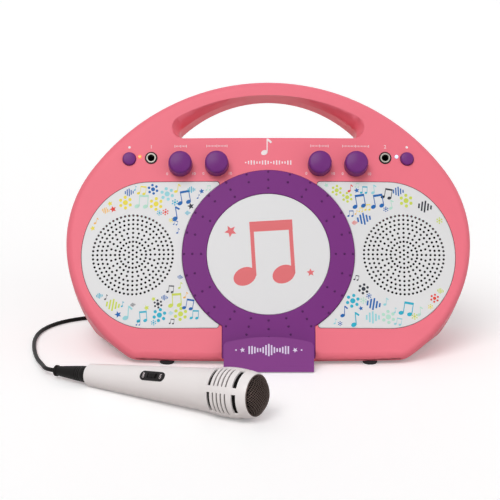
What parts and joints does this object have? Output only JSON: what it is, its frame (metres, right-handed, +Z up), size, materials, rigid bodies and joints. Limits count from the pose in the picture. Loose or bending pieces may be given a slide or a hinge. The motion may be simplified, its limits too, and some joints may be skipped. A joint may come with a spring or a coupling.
{
  "type": "karaoke machine with sliding ledge tray",
  "caption": "Oval karaoke speaker with a carry handle opening, two speakers, turning knobs, a sliding ledge tray for a tablet and a corded microphone.",
  "frame": {"origin": "middle of the bottom of the box round the machine and its microphone, without the cord, on the table", "axes": "+X to the machine's right as seen from the front, -Y towards the viewer of the front, +Z up"},
  "size_m": [0.4277, 0.3788, 0.2508],
  "materials": {
    "housing_plastic": "smooth moulded, soft gloss",
    "panel_plastic": "smooth, satin",
    "ring_plastic": "fine texture, satin",
    "knob_plastic": "smooth, soft gloss",
    "shaft_metal": "turned",
    "light_lens": "clear lens",
    "control_body": "moulded",
    "circuit_board": "solder mask",
    "jack_body": "moulded",
    "bright_metal": "polished plating",
    "screw_steel": "plain",
    "speaker_frame": "stamped, black",
    "speaker_paper": "pressed paper",
    "magnet": "plain ferrite",
    "foot_rubber": "matt",
    "mic_plastic": "smooth, soft gloss",
    "mic_accent": "fine texture, satin",
    "mesh_steel": "woven mesh, black",
    "capsule_metal": "plain",
    "cord_jacket": "smooth, satin"
  },
  "bodies": {
    "cabinet": {"front_shell": "housing_plastic", "rear_shell": "housing_plastic", "left_grille_panel": "panel_plastic", "right_grille_panel": "panel_plastic", "rest_disc": "panel_plastic", "rest_ring": "ring_plastic", "tray_rails": "ring_plastic", "power_led": "light_lens", "pairing_led": "light_lens", "potentiometers": "control_body", "tact_switches": "control_body", "control_board": "circuit_board", "switch_boards": "circuit_board", "main_board": "circuit_board", "mic_jack_1": "jack_body", "mic_jack_2": "jack_body", "dc_inlet": "jack_body", "line_in_jack": "jack_body", "battery_box": "jack_body", "jack_nuts": "jack_body", "jack_bushings": "bright_metal", "battery_contacts": "bright_metal", "case_screws": "screw_steel", "left_speaker_basket": "speaker_frame", "left_speaker_cone": "speaker_paper", "left_speaker_magnet": "magnet", "right_speaker_basket": "speaker_frame", "right_speaker_cone": "speaker_paper", "right_speaker_magnet": "magnet", "rubber_feet": "foot_rubber"},
    "echo_dial": {"echo_knob": "knob_plastic", "echo_shaft": "shaft_metal"},
    "mic_volume_dial": {"mic_volume_knob": "knob_plastic", "mic_volume_shaft": "shaft_metal"},
    "balance_dial": {"balance_knob": "knob_plastic", "balance_shaft": "shaft_metal"},
    "music_volume_dial": {"music_volume_knob": "knob_plastic", "music_volume_shaft": "shaft_metal"},
    "power_key": {"power_button": "knob_plastic"},
    "pairing_key": {"pairing_button": "knob_plastic"},
    "ledge": {"ledge_tray": "ring_plastic"},
    "battery_cover": {"battery_door": "housing_plastic"},
    "microphone": {"mic_housing": "mic_plastic", "mic_grille": "mesh_steel", "mic_capsule": "capsule_metal", "capsule_mount": "foot_rubber", "mic_switch": "control_body", "mic_switch_plate": "mic_accent", "mic_strain_relief": "mic_accent", "mic_cord": "cord_jacket", "mic_cord_coil": "cord_jacket", "mic_cord_tail": "cord_jacket", "plug_boot": "mic_accent", "mic_plug": "bright_metal"},
    "mic_thumb_switch": {"mic_switch_slider": "mic_plastic"}
  },
  "joints": [
    {"name": "echo_turn", "type": "hinge", "parent": "cabinet", "child": "echo_dial", "pos_m": [-0.0843, 0.09543, 0.17742], "axis": [0, -0.9026, 0.4305], "range_deg": [-150, 150]},
    {"name": "mic_volume_turn", "type": "hinge", "parent": "cabinet", "child": "mic_volume_dial", "pos_m": [-0.0494, 0.09543, 0.17742], "axis": [0, -0.9026, 0.4305], "range_deg": [-150, 150]},
    {"name": "balance_turn", "type": "hinge", "parent": "cabinet", "child": "balance_dial", "pos_m": [0.0494, 0.09543, 0.17742], "axis": [0, -0.9026, 0.4305], "range_deg": [-150, 150]},
    {"name": "music_volume_turn", "type": "hinge", "parent": "cabinet", "child": "music_volume_dial", "pos_m": [0.0843, 0.09543, 0.17742], "axis": [0, -0.9026, 0.4305], "range_deg": [-150, 150]},
    {"name": "power_press", "type": "slide", "parent": "cabinet", "child": "power_key", "axis": [0, 0.9026, -0.4305], "range_m": [0, 0.0012], "stiffness_N_per_m": 1000},
    {"name": "pairing_press", "type": "slide", "parent": "cabinet", "child": "pairing_key", "axis": [0, 0.9026, -0.4305], "range_m": [0, 0.0012], "stiffness_N_per_m": 1000},
    {"name": "ledge_slide", "type": "slide", "parent": "cabinet", "child": "ledge", "axis": [0, -1, 0], "range_m": [-0.008, 0]},
    {"name": "battery_cover_lift", "type": "slide", "parent": "cabinet", "child": "battery_cover", "axis": [0, 1, 0], "range_m": [0, 0.06]},
    {"name": "microphone_lift", "type": "slide", "parent": "cabinet", "child": "microphone", "axis": [0, 0, 1], "range_m": [0, 0.1]},
    {"name": "mic_switch_slide", "type": "slide", "parent": "microphone", "child": "mic_thumb_switch", "axis": [0.8096, -0.575, 0.118], "range_m": [-0.002, 0.002]}
  ]
}
